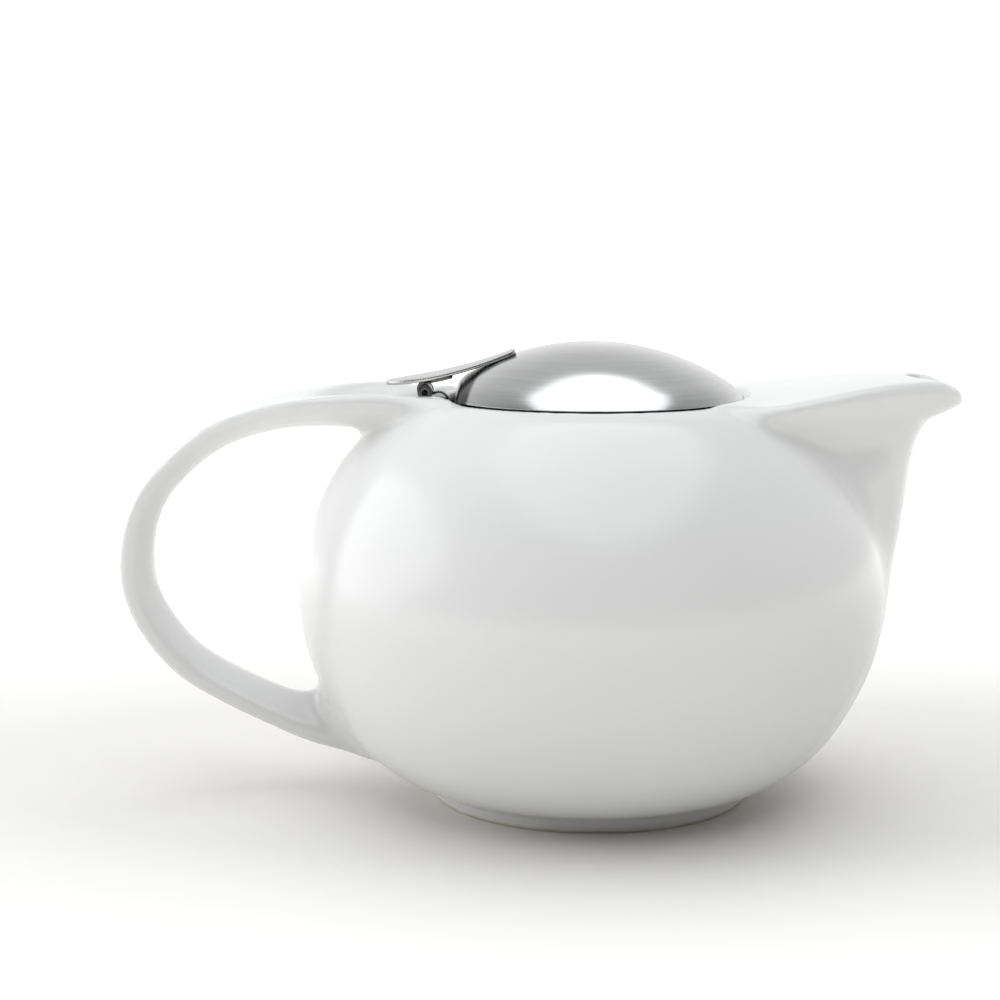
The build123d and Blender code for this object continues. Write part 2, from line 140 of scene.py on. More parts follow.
class Lathe:
    """Signed distance to a solid of revolution about Z, looked up in a fine (radius, height) grid."""

    step = 0.25

    def __init__(self, polygon):
        polygon = np.array(polygon)
        self.low = polygon.min(0) - 12
        self.low[0] = min(self.low[0], -1)
        count = ((polygon.max(0) + 30 - self.low) / self.step).astype(int)
        self.count = count
        r = self.low[0] + np.arange(count[0]) * self.step
        z = self.low[1] + np.arange(count[1]) * self.step
        grid_r, grid_z = np.meshgrid(r, z, indexing="ij")
        self.grid = polygon_distance(grid_r, grid_z, polygon)

    def __call__(self, x, y, z):
        r = np.hypot(x, y)
        u = np.clip((r - self.low[0]) / self.step, 0, self.count[0] - 1.001)
        v = np.clip((z - self.low[1]) / self.step, 0, self.count[1] - 1.001)
        i, j = u.astype(int), v.astype(int)
        fu, fv = u - i, v - j
        g = self.grid
        return (
            g[i, j] * (1 - fu) * (1 - fv) + g[i + 1, j] * fu * (1 - fv)
            + g[i, j + 1] * (1 - fu) * fv + g[i + 1, j + 1] * fu * fv
        )


# ------------------------------------------------------------------ shape of the porcelain body

FOOT_RADIUS, FOOT_HEIGHT, FOOT_RECESS, WALL = 38.6, 3.4, 3.0, 4.0
LIP_HEIGHT, LIP_RADIUS = 96.1, 38.8
MOUTH_RADIUS, LEDGE_RADIUS, LEDGE_HEIGHT, LEDGE_UNDERSIDE = 34.6, 31.6, 90.5, 87.0
LID_SEAT_RADIUS = 36.9
SLOT_X, SLOT_LENGTH, SLOT_WIDTH, SLOT_BOTTOM = -34.7, 3.0, 11.2, 83.2

BELLY = [
    (FOOT_RADIUS, FOOT_HEIGHT), (47.4, 7.0), (56.3, 14.2), (63.2, 24.5), (68.2, 36.5), (70.0, 49.0),
    (68.7, 61.5), (64.3, 73.5), (57.6, 83.4), (50.4, 90.2), (44.0, 94.4), (LIP_RADIUS, LIP_HEIGHT),
]
CAVITY = [
    (34.0, FOOT_RECESS + WALL), (45.0, 10.8), (53.2, 17.4), (59.6, 26.8), (64.3, 37.9), (66.0, 49.0),
    (64.8, 60.6), (60.7, 71.4), (54.6, 80.4), (48.4, 86.0), (43.0, LEDGE_UNDERSIDE),
]

# Level cuts through the spout: height, bow, side taper, half-width the sides would have at the axis.
SPOUT = [
    (28.0, 61.5, 0.05, 24.0), (38.0, 68.0, 0.05, 24.5), (44.0, 70.0, 0.05, 25.0), (50.0, 71.1, 0.06, 25.3),
    (56.0, 72.3, 0.08, 26.3), (68.0, 74.4, 0.12, 29.0), (78.0, 75.7, 0.22, 34.0), (86.0, 77.3, 0.37, 41.2),
    (91.0, 80.3, 0.447, 47.0), (93.8, 86.3, 0.50, 52.0), (96.0, 88.9, 0.51, 54.0), (102.0, 89.4, 0.51, 55.0),
]

# The spout is also held within a half-width, stated at FLARE_X, that grows along X by the slope.
FLARE_X, FLARE_HALF_WIDTH, FLARE_SLOPE = 36.0, 30.5, 0.45
SPOUT_BACK, SPOUT_BOTTOM, SPOUT_FILLET = 26, 30, 3.5

# Top line of the spout, as (x, height), and the crown that fades in along it.
DECK = [
    (20, 95.4), (32.0, 96.0), (36.5, 96.5), (40.0, 97.0), (46.0, 98.1), (54.0, 99.5), (62.0, 100.5),
    (70.0, 101.1), (76.0, 101.2), (81.0, 100.7), (85.0, 99.1), (87.6, 97.3), (90.0, 94.6), (94.0, 90.0),
]
DECK_CROWN, CROWN_START_X, CROWN_FADE = 1.0, 36, 16
CREASE = 3.0
SPOUT_WALL, DECK_WALL = 4.2, 6.0
CHANNEL_BOTTOM, CHANNEL_BACK = 52, 40
POUR_HOLE_X, POUR_HOLE_Z, POUR_HOLE_LENGTH, POUR_HOLE_WIDTH, POUR_LEAN = 79.6, 100.8, 7.0, 11.2, 0.8
POUR_HOLE_BOTTOM = 91

# Handle, from the mouth round to the lower belly: centre x, centre z, thickness, half-width, dish.
HANDLE = [
    (-31.0, 90.5, 10.6, 18.0, 0.4), (-47.0, 92.7, 10.8, 19.8, 0.4), (-57.5, 93.5, 9.4, 19.8, 0.6),
    (-68.0, 93.1, 8.2, 18.6, 1.0), (-78.5, 91.2, 7.4, 16.0, 1.0), (-89.0, 87.2, 7.0, 13.5, 0.7),
    (-98.1, 80.2, 6.5, 11.4, 0.3), (-105.4, 71.1, 6.6, 10.6, 0.1), (-108.5, 60.0, 7.0, 10.3, -0.1),
    (-107.8, 50.1, 7.2, 10.3, -0.2), (-104.1, 41.7, 7.2, 10.3, -0.2), (-96.8, 33.1, 7.2, 10.4, -0.2),
    (-87.8, 27.3, 7.2, 10.7, -0.2), (-76.3, 21.8, 7.4, 11.2, -0.2), (-66.0, 17.9, 8.0, 12.0, -0.2),
    (-54.0, 15.2, 8.8, 13.0, -0.2),
]
HANDLE_EDGE_DROP = 2.4

# Fillet at the handle's ends, and what it gains at most, just above the lower end.
HANDLE_FILLET, HANDLE_LOWER_FILLET = 4, 7

# Hollow under the thumb lever: its bottom line as (x, height), turned about a line above it.
SCOOP = [
    (-30.0, 95.2), (-35.8, 94.6), (-39.5, 94.1), (-44.0, 92.9), (-48.5, 92.0), (-53.0, 92.2),
    (-58.0, 93.4), (-64.0, 95.6), (-71.0, 99.0), (-80.0, 104.0),
]
SCOOP_AXIS_Z, SCOOP_FRONT = 110.0, -33

foot_ring = [(FOOT_RADIUS - 4.6, FOOT_RECESS), (FOOT_RADIUS - 4.0, 0), (FOOT_RADIUS - 0.5, 0)]
belly_lathe = Lathe(np.vstack([
    [(0, LIP_HEIGHT), (0, FOOT_RECESS), *foot_ring],
    spline_points(BELLY),
]))
cavity_lathe = Lathe(np.vstack([
    [(0, FOOT_RECESS + WALL)], spline_points(CAVITY),
    [(LEDGE_RADIUS, LEDGE_UNDERSIDE), (LEDGE_RADIUS, LEDGE_HEIGHT), (MOUTH_RADIUS, LEDGE_HEIGHT),
     (MOUTH_RADIUS, LIP_HEIGHT), (LID_SEAT_RADIUS, LIP_HEIGHT), (LID_SEAT_RADIUS, 125), (0, 125)],
]))
spout_bow, spout_taper, spout_spread = (
    smooth_curve([(row[0], row[column]) for row in SPOUT]) for column in (1, 2, 3)
)
deck_height = smooth_curve(DECK)
scoop_bottom = smooth_curve(SCOOP[::-1])

handle_line = spline_points([(x, z) for x, z, *_ in HANDLE], steps=10)
handle_run = np.concatenate([[0], np.cumsum(np.linalg.norm(np.diff(handle_line, axis=0), axis=1))])
handle_at = handle_run[::10]
handle_thickness, handle_width, handle_dish = (
    smooth_curve([(s, row[column]) for s, row in zip(handle_at, HANDLE)]) for column in (2, 3, 4)
)


def spout_sides(x, y, z, inset=0.0):
    """Distance to the spout's walls: straight tapering sides and a round bow at each height."""
    bow, taper, spread = spout_bow(z) - inset, spout_taper(z), spout_spread(z)
    slant = np.sqrt(1 + taper**2)
    spread = spread - inset * slant
    radius = (spread - taper * bow) / (slant - taper)
    centre = bow - radius
    touch_x, touch_y = centre + radius * taper / slant, radius / slant
    side = (np.abs(y) - (spread - taper * x)) / slant
    nose = np.hypot(x - centre, y) - radius
    ahead = (x - touch_x) - taper * (np.abs(y) - touch_y) > 0
    return np.where(ahead, nose, side)


def spout_top(x, y, z):
    """Distance above the spout's crowned top face."""
    crown = DECK_CROWN * np.clip((x - CROWN_START_X) / CROWN_FADE, 0, 1)
    return z - deck_height(x) + crown * (y / np.maximum(30 - 0.33 * (x - 46), 8)) ** 2


def handle_body(x, y, z):
    """Distance to the ribbon handle, swept along its centre line in the plane of symmetry."""
    out = np.full(x.shape, 50.0)
    near = (x < -24) & (np.abs(y) < 40)
    if not near.any():
        return out
    px, pz, py = x[near], z[near], np.abs(y[near])
    best = np.full(px.shape, 1e9)
    run, side = np.zeros(px.shape), np.zeros(px.shape)
    for i, (a, b) in enumerate(zip(handle_line[:-1], handle_line[1:])):
        edge = b - a
        length = np.linalg.norm(edge)
        ux, uz = edge / length
        along = (px - a[0]) * ux + (pz - a[1]) * uz
        held = np.clip(along, 0, length)
        apart = (px - a[0] - held * ux) ** 2 + (pz - a[1] - held * uz) ** 2
        closer = apart < best
        best = np.where(closer, apart, best)
        run = np.where(closer, handle_run[i] + held, run)
        out_side = (px - a[0]) * uz - (pz - a[1]) * ux
        side = np.where(closer, np.sign(out_side) * np.sqrt(apart), side)
    half, width, dish = handle_thickness(run) / 2, handle_width(run), handle_dish(run)
    across = np.clip(py / width, 0, 1)
    top = side - (half - dish * (1 - across**2))
    depth = 2 * half - HANDLE_EDGE_DROP
    radius = (width**2 + depth**2) / (2 * depth)
    under = np.hypot(py, side + half - radius) - radius
    section = meet(meet(top, under, 5.0), py - width, 3.0)
    out[near] = section
    return out


def pot_field(x, y, z):
    """Field that is zero on the surface of the porcelain and negative inside it."""
    belly = belly_lathe(x, y, z)
    flare = (np.abs(y) - FLARE_HALF_WIDTH - FLARE_SLOPE * (x - FLARE_X)) / sqrt(1 + FLARE_SLOPE**2)
    spout = meet(spout_sides(x, y, z), flare, 4.0)
    spout = meet(spout, spout_top(x, y, z), CREASE)
    spout = meet(meet(spout, SPOUT_BACK - x, 2.0), SPOUT_BOTTOM - z, 4.0)
    solid = join(belly, spout, SPOUT_FILLET)
    above_lower_end = np.clip((52 - z) / 22, 0, 1) * np.clip((z - 14) / 8, 0, 1)
    fillet = HANDLE_FILLET + HANDLE_LOWER_FILLET * above_lower_end
    solid = join(solid, handle_body(x, y, z), fillet)
    scoop = np.hypot(y, z - SCOOP_AXIS_Z) - (SCOOP_AXIS_Z - scoop_bottom(x))
    solid = meet(solid, -np.maximum(scoop, x - SCOOP_FRONT), 2.5)

    channel = meet(spout_sides(x, y, z, inset=SPOUT_WALL), spout_top(x, y, z) + DECK_WALL, 4.0)
    channel = meet(channel, CHANNEL_BOTTOM - z, 3.0)
    channel = meet(channel, CHANNEL_BACK - x, 2.0)
    channel = meet(channel, x - 73.0 - 0.4 * (z - 90), 3.0)
    lean = x - POUR_HOLE_X - (z - POUR_HOLE_Z) * POUR_LEAN
    grow = 1 + np.clip(POUR_HOLE_Z - z, 0, 9) * 0.02
    a, b = POUR_HOLE_LENGTH / 2 * grow, POUR_HOLE_WIDTH / 2 * grow
    hole = (np.sqrt((lean / a) ** 2 + (y / b) ** 2) - 1) * np.minimum(a, b) * 0.85
    hole = meet(hole, POUR_HOLE_BOTTOM - z, 2.0)
    hollow = join(cavity_lathe(x, y, z), channel, 4.0)
    hollow = join(hollow, hole, 2.5)
    slot = np.maximum(np.abs(x - SLOT_X) - SLOT_LENGTH / 2, np.abs(y) - SLOT_WIDTH / 2)
    hollow = np.minimum(hollow, np.maximum(slot, SLOT_BOTTOM - z))
    return meet(solid, -hollow, 1.6)


# ------------------------------------------------------------------ meshes from fields, lathes and strips

def surface_nets(field, low, high, cell):
    """Quads over the zero surface of a field that is symmetric about y = 0, as (points, quads)."""
    counts = [int((high[i] - low[i]) / cell) + 6 for i in (0, 2)]
    x = low[0] - 2.5 * cell + np.arange(counts[0]) * cell
    z = low[2] - 2.5 * cell + np.arange(counts[1]) * cell
    y = (np.arange(int(high[1] / cell) + 5) - 0.5) * cell
    values = np.empty((len(x), len(y), len(z)))
    for start in range(0, len(x), 16):
        slab = np.meshgrid(x[start:start + 16], y, z, indexing="ij")
        values[start:start + 16] = field(*slab)
    inside = values < 0
    corners = [(i, j, k) for i in (0, 1) for j in (0, 1) for k in (0, 1)]

    def corner(grid, c):
        return grid[tuple(slice(o, n - 1 + o) for o, n in zip(c, grid.shape))]

    total = sum(corner(inside, c).astype(np.int8) for c in corners)
    active = (total > 0) & (total < 8)
    number = np.full(active.shape, -1)
    number[active] = np.arange(active.sum())
    place, crossed = np.zeros((active.sum(), 3)), np.zeros(active.sum())
    for a in corners:
        for axis in range(3):
            if a[axis]:
                continue
            b = tuple(1 if i == axis else a[i] for i in range(3))
            va, vb = corner(values, a)[active], corner(values, b)[active]
            cut = (va < 0) != (vb < 0)
            t = np.where(cut, va / np.where(cut, va - vb, 1), 0)
            point = np.array(a, float) + np.eye(3)[axis] * t[:, None]
            place += point * cut[:, None]
            crossed += cut
    cells = np.argwhere(active)
    points = np.array([x[0], y[0], z[0]]) + (cells + place / crossed[:, None]) * cell

    quads = []
    for axis in range(3):
        one, two = (axis + 1) % 3, (axis + 2) % 3
        lower = [slice(None)] * 3
        upper = [slice(None)] * 3
        lower[axis], upper[axis] = slice(0, -1), slice(1, None)
        changes = np.argwhere(inside[tuple(lower)] != inside[tuple(upper)])
        changes = changes[(changes[:, one] > 0) & (changes[:, two] > 0)]
        changes = changes[(changes[:, one] < active.shape[one]) & (changes[:, two] < active.shape[two])]
        ring = []
        for d1, d2 in ((-1, -1), (0, -1), (0, 0), (-1, 0)):
            c = changes.copy()
            c[:, one] += d1
            c[:, two] += d2
            ring.append(number[tuple(c.T)])
        ring = np.stack(ring, 1)
        outward = inside[tuple(changes.T)]
        quads.append(np.where(outward[:, None], ring, ring[:, ::-1]))
    quads = np.concatenate(quads)
    quads = quads[(quads >= 0).all(1)]

    middle = cells[:, 1] == 0
    points[middle, 1] = 0
    mirrored = points[~middle] * [1, -1, 1]
    twin = np.arange(len(points))
    twin[~middle] = len(points) + np.arange((~middle).sum())
    return np.vstack([points, mirrored]), np.vstack([quads, twin[quads][:, ::-1]])


def gradient(field, p, step=0.15):
    """Slope of the field at points p."""
    out = np.empty_like(p)
    for axis in range(3):
        d = np.eye(3)[axis] * step
        out[:, axis] = (field(*(p + d).T) - field(*(p - d).T)) / (2 * step)
    return out


def settle(field, points, quads, rounds=3):
    """Evens out the spacing of the points and puts them exactly on the zero surface."""
    edges = np.vstack([quads[:, [i, (i + 1) % 4]] for i in range(4)])
    both = np.concatenate([edges[:, 0], edges[:, 1]]), np.concatenate([edges[:, 1], edges[:, 0]])
    degree = np.bincount(both[0], minlength=len(points))
    for turn in range(rounds):
        if turn < rounds - 1:
            mean = np.stack(
                [np.bincount(both[0], points[both[1], i], len(points)) / degree for i in range(3)], 1
            )
            points = points + 0.6 * (mean - points)
        for _ in range(2):
            slope = gradient(field, points)
            size = np.maximum((slope**2).sum(1), 0.05)
            move = -slope * (field(*points.T) / size)[:, None]
            points = points + np.clip(move, -1, 1)
    return points


def new_object(name, points, faces, body=None, stands_for=(), slot=None):
    """A smooth-shaded mesh object from points in millimetres, riding on a CAD body."""
    mesh = bpy.data.meshes.new(name)
    mesh.from_pydata((np.asarray(points) * MM).tolist(), [], [list(map(int, f)) for f in faces])
    mesh.validate()
    mesh.shade_smooth()
    obj = bpy.data.objects.new(name, mesh)
    bpy.context.scene.collection.objects.link(obj)
    if body:
        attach(obj, body)
        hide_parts(*stands_for)
    return obj


def loops_mesh(loops, close_first=False, close_last=False, ring=False):
    """Points and quads of a tube through equal closed loops of points; ring joins the last to the first."""
    loops = np.asarray(loops)
    rows, count = loops.shape[:2]
    points = loops.reshape(-1, 3)
    faces = []
    for i in range(rows if ring else rows - 1):
        a, b = i * count, ((i + 1) % rows) * count
        for j in range(count):
            k = (j + 1) % count
            faces.append((a + j, a + k, b + k, b + j))
    for wanted, row, flip in ((close_first, 0, True), (close_last, rows - 1, False)):
        if wanted:
            centre = len(points)
            points = np.vstack([points, loops[row].mean(0)])
            start = row * count
            for j in range(count):
                k = (j + 1) % count
                faces.append((start + k, start + j, centre) if flip else (start + j, start + k, centre))
    return points, faces


def merge(*parts):
    """One (points, faces) pair from several."""
    points, faces, start = [], [], 0
    for p, f in parts:
        points.append(np.asarray(p))
        faces += [tuple(i + start for i in face) for face in f]
        start += len(p)
    return np.vstack(points), faces


def turn_about_z(profile, angles, reach=None):
    """Loops of a closed (radius, height) profile turned about Z; reach can hold back the radius by angle."""
    profile = np.asarray(profile, float)
    loops = []
    for a in angles:
        r = profile[:, 0] if reach is None else np.minimum(profile[:, 0], reach(a))
        loops.append(np.stack([r * cos(a), r * sin(a), profile[:, 1]], 1))
    return loops


def rounded(corners, radius, steps=4):
    """A closed outline with its corners rounded; radius is one number or one for each corner."""
    corners = np.asarray(corners, float)
    radii = np.broadcast_to(radius, len(corners))
    out = []
    for before, corner, after, r in zip(np.roll(corners, 1, 0), corners, np.roll(corners, -1, 0), radii):
        one, two = before - corner, after - corner
        reach = min(r, 0.49 * np.linalg.norm(one), 0.49 * np.linalg.norm(two))
        start = corner + one / np.linalg.norm(one) * reach
        end = corner + two / np.linalg.norm(two) * reach
        for t in np.linspace(0, 1, steps + 1):
            out.append((1 - t) ** 2 * start + 2 * t * (1 - t) * corner + t**2 * end)
    return np.array(out)


def strip(path, low_y, high_y, thickness, edge=0.15):
    """A sheet-metal strip along an (x, z) path, low_y to high_y wide at each point, with eased edges."""
    path = np.asarray(path, float)
    count = len(path)
    low_y, high_y = np.broadcast_to(low_y, count), np.broadcast_to(high_y, count)
    along = np.gradient(path, axis=0)
    along /= np.linalg.norm(along, axis=1)[:, None]
    loops = []
    for i in range(count):
        width = max(high_y[i] - low_y[i], 0.02)
        half = thickness / 2
        ease = min(edge, width * 0.45)
        shrink = edge * 0.6 if i in (0, count - 1) else 0
        half -= shrink
        section = rounded(
            [(low_y[i] + shrink, -half), (high_y[i] - shrink, -half),
             (high_y[i] - shrink, half), (low_y[i] + shrink, half)], ease, 3
        )
        x = path[i, 0] - along[i, 1] * section[:, 1]
        z = path[i, 1] + along[i, 0] * section[:, 1]
        loops.append(np.stack([x, section[:, 0], z], 1))
    return loops_mesh(loops, close_first=True, close_last=True)


def arc(start, middle, end, count):
    """Evenly spaced points on the circle through three points."""
    (x1, z1), (x2, z2), (x3, z3) = start, middle, end
    d = 2 * (x1 * (z2 - z3) + x2 * (z3 - z1) + x3 * (z1 - z2))
    s1, s2, s3 = x1**2 + z1**2, x2**2 + z2**2, x3**2 + z3**2
    cx = (s1 * (z2 - z3) + s2 * (z3 - z1) + s3 * (z1 - z2)) / d
    cz = (s1 * (x3 - x2) + s2 * (x1 - x3) + s3 * (x2 - x1)) / d
    a1, a2, a3 = (atan2(z - cz, x - cx) for x, z in (start, middle, end))
    turn = (a3 - a1) % (2 * pi)
    if (a2 - a1) % (2 * pi) > turn:
        turn -= 2 * pi
    a = a1 + turn * np.linspace(0, 1, count)
    r = np.hypot(x1 - cx, z1 - cz)
    return np.stack([cx + r * np.cos(a), cz + r * np.sin(a)], 1)


# ------------------------------------------------------------------ porcelain

nets_points, nets_quads = surface_nets(pot_field, pot_low_all, pot_high_all, POT_CELL)
nets_points = settle(pot_field, nets_points, nets_quads)
pot = new_object(
    "glazed_body", nets_points, nets_quads, "pot", ["pot_body", "spout", "handle"], "porcelain"
)


# ------------------------------------------------------------------ lid

LID_SHEET = 0.7
CROWN_RADIUS, CROWN_REACH = 60.0, 32.0
lid_radius, lid_rim, lid_top, lid_back = lid_high[1], lid_low[2], lid_high[2], lid_low[0]
LID_COLUMNS = 240
CORNER_EASE = 1.8


def dome_height(r, inset=0.0):
    """Height of the dome at a radius: a shallow crown that turns down into the rim."""
    crown, edge, rim = CROWN_RADIUS - inset, lid_radius - inset, lid_rim
    base = lid_top - CROWN_RADIUS
    reach = CROWN_REACH * crown / CROWN_RADIUS
    joint_z = base + sqrt(crown**2 - reach**2)
    inward = np.array([-reach, base - joint_z]) / crown
    gap = np.array([reach - edge, joint_z - rim])
    turn = -gap @ gap / (2 * inward @ gap)
    cx, cz = reach + inward[0] * turn, joint_z + inward[1] * turn
    flat = base + np.sqrt(np.maximum(crown**2 - r**2, 0))
    bend = cz + np.sqrt(np.maximum(turn**2 - (r - cx) ** 2, 0))
    return np.where(r < reach, flat, bend)


def lid_reach(angle, inset=0.0):
    """Radius of the lid's outline at an angle: a circle cut straight at the back, with eased corners."""
    circle = lid_radius - inset
    if cos(angle) > -0.2:
        return circle
    chord = (-lid_back - inset) / -cos(angle)
    gap = max(CORNER_EASE - abs(circle - chord), 0) / CORNER_EASE
    return min(circle, chord) - gap * gap * CORNER_EASE / 4


def lid_line(angle, inset):
    """Points from the crown down to the rim at one angle, as (radius, height)."""
    reach = lid_reach(angle, inset)
    corner_z = dome_height(reach, inset)
    drop = corner_z - lid_rim
    ease = min(4.2, 0.15 + drop * 0.8)
    s = np.linspace(0.02, 1, 54)
    r = (1 - (1 - s) ** 1.5) * (reach - ease)
    top = np.stack([r, dome_height(r, inset)], 1)
    corner = np.array([reach, corner_z])
    below = np.array([reach, corner_z - min(ease, drop * 0.9)])
    t = np.linspace(0, 1, 7)[1:, None]
    bend = (1 - t) ** 2 * top[-1] + 2 * t * (1 - t) * corner + t**2 * below
    wall_z = np.linspace(below[1], lid_rim + 0.12, 5)[1:]
    wall = np.stack([np.full(4, reach), wall_z], 1)
    return np.vstack([top, bend, wall])


angles = np.linspace(0, 2 * pi, LID_COLUMNS, endpoint=False)
outer = np.array([lid_line(a, 0.0) for a in angles])
inner = np.array([lid_line(a, LID_SHEET) for a in angles])
hem = np.array([
    [(lid_reach(a) - 0.1, lid_rim), (lid_reach(a) - LID_SHEET + 0.1, lid_rim)] for a in angles
])
lines = np.concatenate([outer, hem, inner[:, ::-1]], 1)
lid_loops = np.stack([
    lines[:, :, 0] * np.cos(angles)[:, None], lines[:, :, 0] * np.sin(angles)[:, None], lines[:, :, 1]
], 2).transpose(1, 0, 2)
lid_points, lid_faces = loops_mesh(lid_loops, close_first=True, close_last=True)
dome = new_object("lid_shell", lid_points, lid_faces, "lid", ["lid_dome"], "brushed_lid")

skirt_low, _ = box_mm("lid_skirt")
SKIRT_RADIUS = 34.0
skirt_half_angle = np.arccos((skirt_low[0] + 0.2) / (SKIRT_RADIUS - 0.3))
skirt_section = rounded([
    (SKIRT_RADIUS - LID_SHEET, skirt_low[2]), (SKIRT_RADIUS, skirt_low[2]), (SKIRT_RADIUS, lid_rim),
    (lid_radius - 2 * LID_SHEET, lid_rim), (lid_radius - 2 * LID_SHEET, lid_rim + LID_SHEET),
    (SKIRT_RADIUS - LID_SHEET, lid_rim + LID_SHEET),
], [0.2, 0.2, 0.1, 0.2, 0.2, 0.4])
skirt_loops = turn_about_z(skirt_section, np.linspace(-skirt_half_angle, skirt_half_angle, 150))
skirt = new_object(
    "lid_skirt_ring", *loops_mesh(skirt_loops, close_first=True, close_last=True),
    "lid", ["lid_skirt"], "brushed_lid"
)

# thumb lever: a strip bent to a long arc, rounded at the tip and at the front's corners
LEVER_SHEET = 0.9
LEVER_MIDDLE = (-33.5, 102.0)
LEVER_TIP, LEVER_FRONT = (-48.9, 99.5), (-18.2, 107.0)
LEVER_WIDEST_X, LEVER_FRONT_HALF, LEVER_CORNER = -38.5, 3.9, 1.6
lever_half_width = box_mm("thumb_lever")[1][1]
lever_arc = arc(LEVER_TIP, LEVER_MIDDLE, LEVER_FRONT, 400)
tip_x, front_x = lever_arc[0, 0] + 0.05, lever_arc[-1, 0]
spacing = (1 - np.cos(np.linspace(0, pi, 90))) / 2
lever_x = tip_x + (front_x - tip_x) * spacing
lever_path = np.stack([lever_x, np.interp(lever_x, lever_arc[:, 0], lever_arc[:, 1])], 1)


def lever_width(x):
    """Half-width of the lever at x: a leaf shape, widest over the hinge."""
    tip = np.clip((LEVER_WIDEST_X - x) / (LEVER_WIDEST_X - tip_x), 0, 1)
    narrowing = np.clip((x - LEVER_WIDEST_X) / (front_x - LEVER_WIDEST_X), 0, 1)
    sides = lever_half_width + (LEVER_FRONT_HALF - lever_half_width) * narrowing**1.35
    front = np.clip((x - front_x) / LEVER_CORNER + 1, 0, 1)
    return np.sqrt(1 - tip**2.3) * sides - LEVER_CORNER * (1 - np.sqrt(1 - front**2))


lever = new_object(
    "thumb_plate", *strip(lever_path, -lever_width(lever_x), lever_width(lever_x), LEVER_SHEET, 0.22),
    "lid", ["thumb_lever"], "brushed_lid"
)


# ------------------------------------------------------------------ hinge

KNUCKLE_OUTER, KNUCKLE_INNER, PIN_RADIUS, PIN_BORE = 1.8, 1.2, 1.16, 0.6
MIDDLE_HALF, KNUCKLE_GAP, LEAF_SHEET, BRACKET_SHEET, PIN_WEB = 1.9, 0.3, 0.8, 0.45, 2.0
PIN_HEAD_RADIUS, PIN_HEAD = 1.45, 0.25
PLATE_TOP, PLATE_CORNER = 94.4, 1.2
curl_radius = (KNUCKLE_OUTER + KNUCKLE_INNER) / 2
curl_sheet = KNUCKLE_OUTER - KNUCKLE_INNER


def curl_line(first, last):
    """Middle line of a sheet rolled round the pin, between two angles in degrees."""
    return [
        (pivot_x + curl_radius * cos(radians(a)), pivot_z + curl_radius * sin(radians(a)))
        for a in np.linspace(first, last, 40)
    ]


knuckle_half = leaf_high[1]
leaf_x = np.linspace(leaf_high[0], leaf_low[0] + 0.9, 14)
leaf_drop = LEVER_SHEET / 2 + 0.06 + LEAF_SHEET / 2
leaf_line = np.stack([leaf_x, np.interp(leaf_x, lever_arc[:, 0], lever_arc[:, 1]) - leaf_drop], 1)
leaf_plate = strip(leaf_line, -knuckle_half, knuckle_half, LEAF_SHEET)
curl = curl_line(175, 495)
leaf_bend = spline_points([
    leaf_line[8], leaf_line[11], leaf_line[13] - (0.35, 0.25), curl[0] + np.array((-0.1, 0.9)), curl[0],
], 5)
curl_path = np.vstack([leaf_bend, curl[1:]])
leaf_parts = [leaf_plate]
for side in (-1, 1):
    ends = sorted((side * (MIDDLE_HALF + KNUCKLE_GAP), side * knuckle_half))
    leaf_parts.append(strip(curl_path, ends[0], ends[1], curl_sheet, 0.12))
leaf = new_object("hinge_leaf_sheet", *merge(*leaf_parts), "lid", ["hinge_leaf"], "hinge_steel")

bracket_x = bracket_high[0] - BRACKET_SHEET / 2
arch = arc((pivot_x + 1.75, pivot_z - 0.75), (-36.0, 97.25), (bracket_x, 95.0), 24)
arch_path = np.vstack([curl_line(-340, -25), arch[1:], [(bracket_x, PLATE_TOP)]])
plate_z = np.linspace(bracket_low[2], PLATE_TOP, 16)
plate_half = bracket_high[1]
for from_end in (plate_z - plate_z[0], plate_z[-1] - plate_z):
    corner = np.clip(1 - from_end / PLATE_CORNER, 0, 1)
    plate_half = plate_half - PLATE_CORNER * (1 - np.sqrt(1 - corner**2))
plate_path = np.stack([np.full(16, bracket_x), plate_z], 1)
bracket = new_object(
    "hinge_bracket_sheet",
    *merge(
        strip(arch_path, -MIDDLE_HALF, MIDDLE_HALF, BRACKET_SHEET, 0.1),
        strip(plate_path, -plate_half, plate_half, BRACKET_SHEET, 0.1),
    ),
    "lid_mount", ["hinge_bracket"], "hinge_steel"
)

pin_half = pin_high[1]
pin_line = rounded([
    (0.02, -PIN_WEB), (PIN_BORE, -PIN_WEB), (PIN_BORE, -pin_half),
    (PIN_HEAD_RADIUS, -pin_half), (PIN_HEAD_RADIUS, -pin_half + PIN_HEAD),
    (PIN_RADIUS, -pin_half + 0.3), (PIN_RADIUS, pin_half - 0.3),
    (PIN_HEAD_RADIUS, pin_half - PIN_HEAD), (PIN_HEAD_RADIUS, pin_half),
    (PIN_BORE, pin_half), (PIN_BORE, PIN_WEB), (0.02, PIN_WEB),
], [0, 0.1, 0.25, 0.12, 0.05, 0.05, 0.05, 0.05, 0.12, 0.25, 0.1, 0])
around = np.linspace(0, 2 * pi, 40, endpoint=False)
pin_loops = [
    np.stack([pivot_x + r * np.cos(around), np.full(40, y), pivot_z + r * np.sin(around)], 1)
    for r, y in pin_line
]
pin = new_object(
    "hinge_pin_tube", *loops_mesh(pin_loops, close_first=True, close_last=True),
    "lid_mount", ["hinge_pin"], "hinge_steel"
)


# ------------------------------------------------------------------ infuser

INFUSER_SHEET, FLANGE_RADIUS, COLLAR_RADIUS, NOTCH_HALF_WIDTH = 0.6, 34.2, 31.2, 6.6
flange_z = collar_high[2]
notch_x = -collar_low[0]


